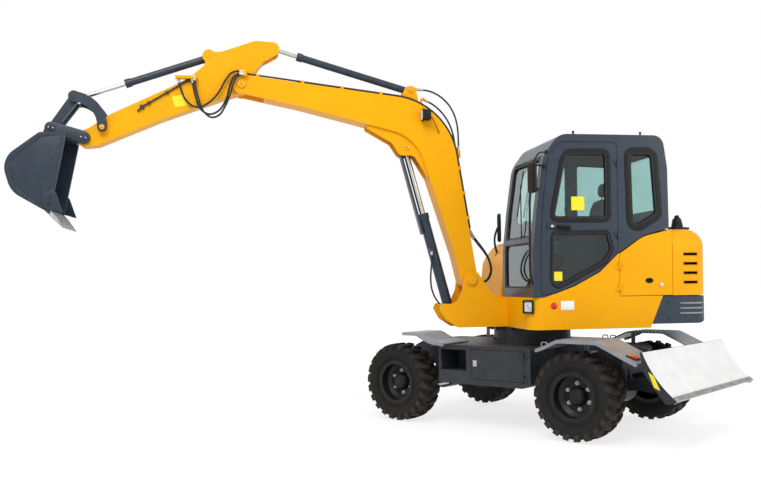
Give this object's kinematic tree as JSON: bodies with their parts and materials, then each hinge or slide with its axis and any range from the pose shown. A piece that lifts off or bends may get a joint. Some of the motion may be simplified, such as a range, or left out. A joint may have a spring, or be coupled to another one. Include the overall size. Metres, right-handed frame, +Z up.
{
  "type": "wheeled excavator",
  "caption": "Wheeled excavator with a slewing upper structure, enclosed cab, bent boom, arm, toothed bucket and a rear dozer blade on steered and driven wheels.",
  "frame": {"origin": "on the ground, in the middle of the machine's box as it stands with the boom forward", "axes": "+X forward along the boom, +Y to the operator's left, +Z up"},
  "size_m": [7.2446, 3.8816, 3.9081],
  "materials": {
    "upper_paint": "satin yellow-orange paint",
    "cab_paint": "semi-gloss dark blue-grey paint",
    "cylinder_paint": "semi-gloss dark blue-grey paint",
    "chassis_paint": "matte charcoal paint",
    "fender_paint": "light grey paint, worn by boots",
    "blade_paint": "pale grey paint",
    "rim_paint": "semi-gloss black paint",
    "tyre": "matte black rubber",
    "bright_steel": "polished chrome",
    "tooth_steel": "ground cast steel",
    "glass": "clear glass with a faint green tint",
    "engine_paint": "rough cast iron",
    "seat_fabric": "dark woven fabric",
    "black_plastic": "matte black plastic"
  },
  "bodies": {
    "undercarriage": {"chassis": "chassis_paint", "side_box_left": "chassis_paint", "side_box_right": "chassis_paint", "slew_ring": "chassis_paint", "axle_rear": "chassis_paint", "axle_front": "chassis_paint", "fenders": "fender_paint", "steer_barrel": "chassis_paint"},
    "tool_door_left": {"tool_door_left": "chassis_paint"},
    "tool_door_right": {"tool_door_right": "chassis_paint"},
    "knuckle_left": {"knuckle_left": "chassis_paint"},
    "knuckle_right": {"knuckle_right": "chassis_paint"},
    "steer_rod": {"steer_rod": "bright_steel"},
    "wheel_front_left": {"rim_front_left": "rim_paint", "tyre_front_left": "tyre"},
    "wheel_front_right": {"rim_front_right": "rim_paint", "tyre_front_right": "tyre"},
    "wheel_rear_left": {"rim_rear_left": "rim_paint", "tyre_rear_left": "tyre"},
    "wheel_rear_right": {"rim_rear_right": "rim_paint", "tyre_rear_right": "tyre"},
    "blade": {"blade": "blade_paint"},
    "blade_barrel": {"blade_barrel": "cylinder_paint"},
    "blade_rod": {"blade_rod": "bright_steel"},
    "upper": {"platform": "upper_paint", "boom_bracket": "upper_paint", "counterweight": "cab_paint", "left_cowl": "upper_paint", "right_cover": "upper_paint", "engine": "engine_paint", "cab": "cab_paint", "cab_glass": "glass", "seat": "seat_fabric", "controls": "black_plastic", "mirrors": "black_plastic"},
    "side_door": {"side_door": "upper_paint"},
    "bonnet": {"bonnet": "upper_paint"},
    "cab_door": {"cab_door": "cab_paint", "door_glass": "glass"},
    "boom": {"boom": "upper_paint"},
    "boom_barrel": {"boom_barrel": "cylinder_paint"},
    "boom_rod": {"boom_rod": "bright_steel"},
    "arm": {"arm": "upper_paint"},
    "arm_barrel": {"arm_barrel": "cylinder_paint"},
    "arm_rod": {"arm_rod": "bright_steel"},
    "bucket_barrel": {"bucket_barrel": "cylinder_paint"},
    "bucket_rod": {"bucket_rod": "bright_steel"},
    "guide_link": {"guide_link": "cylinder_paint"},
    "bucket_link": {"bucket_link": "cylinder_paint"},
    "bucket": {"bucket": "cylinder_paint", "bucket_teeth": "tooth_steel"}
  },
  "joints": [
    {"name": "slew", "type": "hinge", "parent": "undercarriage", "child": "upper", "pos_m": [-1.647, -0.174, 0.999], "axis": [0, 0, 1], "continuous": true},
    {"name": "wheel_rear_left_spin", "type": "hinge", "parent": "undercarriage", "child": "wheel_rear_left", "pos_m": [-1.64966, 1.0827, 0.412], "axis": [0.7705, 0.6374, 0], "continuous": true},
    {"name": "wheel_rear_right_spin", "type": "hinge", "parent": "undercarriage", "child": "wheel_rear_right", "pos_m": [-2.88094, 0.0641, 0.412], "axis": [0.7705, 0.6374, 0], "continuous": true},
    {"name": "steer_left", "type": "hinge", "parent": "undercarriage", "child": "knuckle_left", "pos_m": [-0.45537, -0.64177, 0.412], "axis": [0, 0, 1], "range_deg": [-30, 30]},
    {"name": "steer_right", "type": "hinge", "parent": "undercarriage", "child": "knuckle_right", "pos_m": [-1.4108, -1.43218, 0.412], "axis": [0, 0, 1], "range_deg": [-30, 30]},
    {"name": "steer_rod_slide", "type": "slide", "parent": "undercarriage", "child": "steer_rod", "axis": [0.7705, 0.6374, 0], "range_m": [-0.08, 0.08]},
    {"name": "wheel_front_left_spin", "type": "hinge", "parent": "knuckle_left", "child": "wheel_front_left", "pos_m": [-0.31745, -0.52767, 0.412], "axis": [0.7705, 0.6374, 0], "continuous": true},
    {"name": "wheel_front_right_spin", "type": "hinge", "parent": "knuckle_right", "child": "wheel_front_right", "pos_m": [-1.54873, -1.54628, 0.412], "axis": [0.7705, 0.6374, 0], "continuous": true},
    {"name": "tool_door_left_hinge", "type": "hinge", "parent": "undercarriage", "child": "tool_door_left", "pos_m": [-1.24894, 0.69715, 0.646], "axis": [0, 0, 1], "range_deg": [0, 110]},
    {"name": "tool_door_right_hinge", "type": "hinge", "parent": "undercarriage", "child": "tool_door_right", "pos_m": [-2.57731, -0.40177, 0.646], "axis": [0, 0, -1], "range_deg": [0, 110]},
    {"name": "blade_lift", "type": "hinge", "parent": "undercarriage", "child": "blade", "pos_m": [-2.38004, 0.71209, 0.47], "axis": [-0.7705, -0.6374, 0], "range_deg": [0, 40]},
    {"name": "blade_barrel_hinge", "type": "hinge", "parent": "undercarriage", "child": "blade_barrel", "pos_m": [-2.42147, 0.76217, 0.742], "axis": [-0.7705, -0.6374, 0], "range_deg": [0, 33]},
    {"name": "blade_rod_slide", "type": "slide", "parent": "blade_barrel", "child": "blade_rod", "axis": [-0.601, 0.7264, -0.3334], "range_m": [0, 0.19]},
    {"name": "cab_door_hinge", "type": "hinge", "parent": "upper", "child": "cab_door", "pos_m": [-2.2155, 0.738, 2.27], "axis": [0, 0, 1], "range_deg": [0, 110]},
    {"name": "side_door_hinge", "type": "hinge", "parent": "upper", "child": "side_door", "pos_m": [-2.2275, 0.738, 1.6], "axis": [0, 0, 1], "range_deg": [-80, 0]},
    {"name": "bonnet_hinge", "type": "hinge", "parent": "upper", "child": "bonnet", "pos_m": [-2.7765, -0.174, 1.98], "axis": [0, 1, 0], "range_deg": [0, 60]},
    {"name": "boom_lift", "type": "hinge", "parent": "upper", "child": "boom", "pos_m": [-0.947, -0.174, 1.49], "axis": [0, 1, 0], "range_deg": [-22, 88]},
    {"name": "boom_barrel_hinge", "type": "hinge", "parent": "upper", "child": "boom_barrel", "pos_m": [-0.757, -0.174, 1.133], "axis": [0, 1, 0], "range_deg": [-23, 85]},
    {"name": "boom_rod_slide", "type": "slide", "parent": "boom_barrel", "child": "boom_rod", "axis": [0.2574, 0, 0.9663], "range_m": [-0.57, 0.15]},
    {"name": "arm_swing", "type": "hinge", "parent": "boom", "child": "arm", "pos_m": [1.365, -0.174, 3.465], "axis": [0, -1, 0], "range_deg": [-97, 14]},
    {"name": "arm_barrel_hinge", "type": "hinge", "parent": "boom", "child": "arm_barrel", "pos_m": [-0.357, -0.174, 3.448], "axis": [0, -1, 0], "range_deg": [-9, 2]},
    {"name": "arm_rod_slide", "type": "slide", "parent": "arm_barrel", "child": "arm_rod", "axis": [0.9614, 0, 0.275], "range_m": [-0.12, 0.83]},
    {"name": "bucket_curl", "type": "hinge", "parent": "arm", "child": "bucket", "pos_m": [2.875, -0.174, 2.913], "axis": [0, 1, 0], "range_deg": [-58, 92]},
    {"name": "guide_link_hinge", "type": "hinge", "parent": "arm", "child": "guide_link", "pos_m": [2.697, -0.174, 3.01], "axis": [0, 1, 0], "range_deg": [-44, 68]},
    {"name": "bucket_link_hinge", "type": "hinge", "parent": "guide_link", "child": "bucket_link", "pos_m": [2.953, -0.174, 3.305], "axis": [0, 1, 0], "range_deg": [-18, 12]},
    {"name": "bucket_barrel_hinge", "type": "hinge", "parent": "arm", "child": "bucket_barrel", "pos_m": [1.681, -0.174, 3.744], "axis": [0, 1, 0], "range_deg": [-7, 11]},
    {"name": "bucket_rod_slide", "type": "slide", "parent": "bucket_barrel", "child": "bucket_rod", "axis": [0.9453, 0, -0.3262], "range_m": [-0.24, 0.37]}
  ],
  "couplings": [
    {"joint": "steer_right", "follows": "steer_left", "ratio": 1},
    {"joint": "steer_rod_slide", "follows": "steer_left", "m_per_rad": -0.15},
    {"joint": "blade_barrel_hinge", "follows": "blade_lift", "ratio": 0.79},
    {"joint": "blade_rod_slide", "follows": "blade_lift", "m_per_rad": 0.26},
    {"joint": "boom_barrel_hinge", "follows": "boom_lift", "ratio": 0.93},
    {"joint": "boom_rod_slide", "follows": "boom_lift", "m_per_rad": -0.36},
    {"joint": "arm_barrel_hinge", "follows": "arm_swing", "ratio": 0.06},
    {"joint": "arm_rod_slide", "follows": "arm_swing", "m_per_rad": -0.46},
    {"joint": "guide_link_hinge", "follows": "bucket_curl", "ratio": 0.72},
    {"joint": "bucket_link_hinge", "follows": "bucket_curl", "ratio": -0.17},
    {"joint": "bucket_barrel_hinge", "follows": "bucket_curl", "ratio": 0.1},
    {"joint": "bucket_rod_slide", "follows": "bucket_curl", "m_per_rad": 0.22}
  ]
}
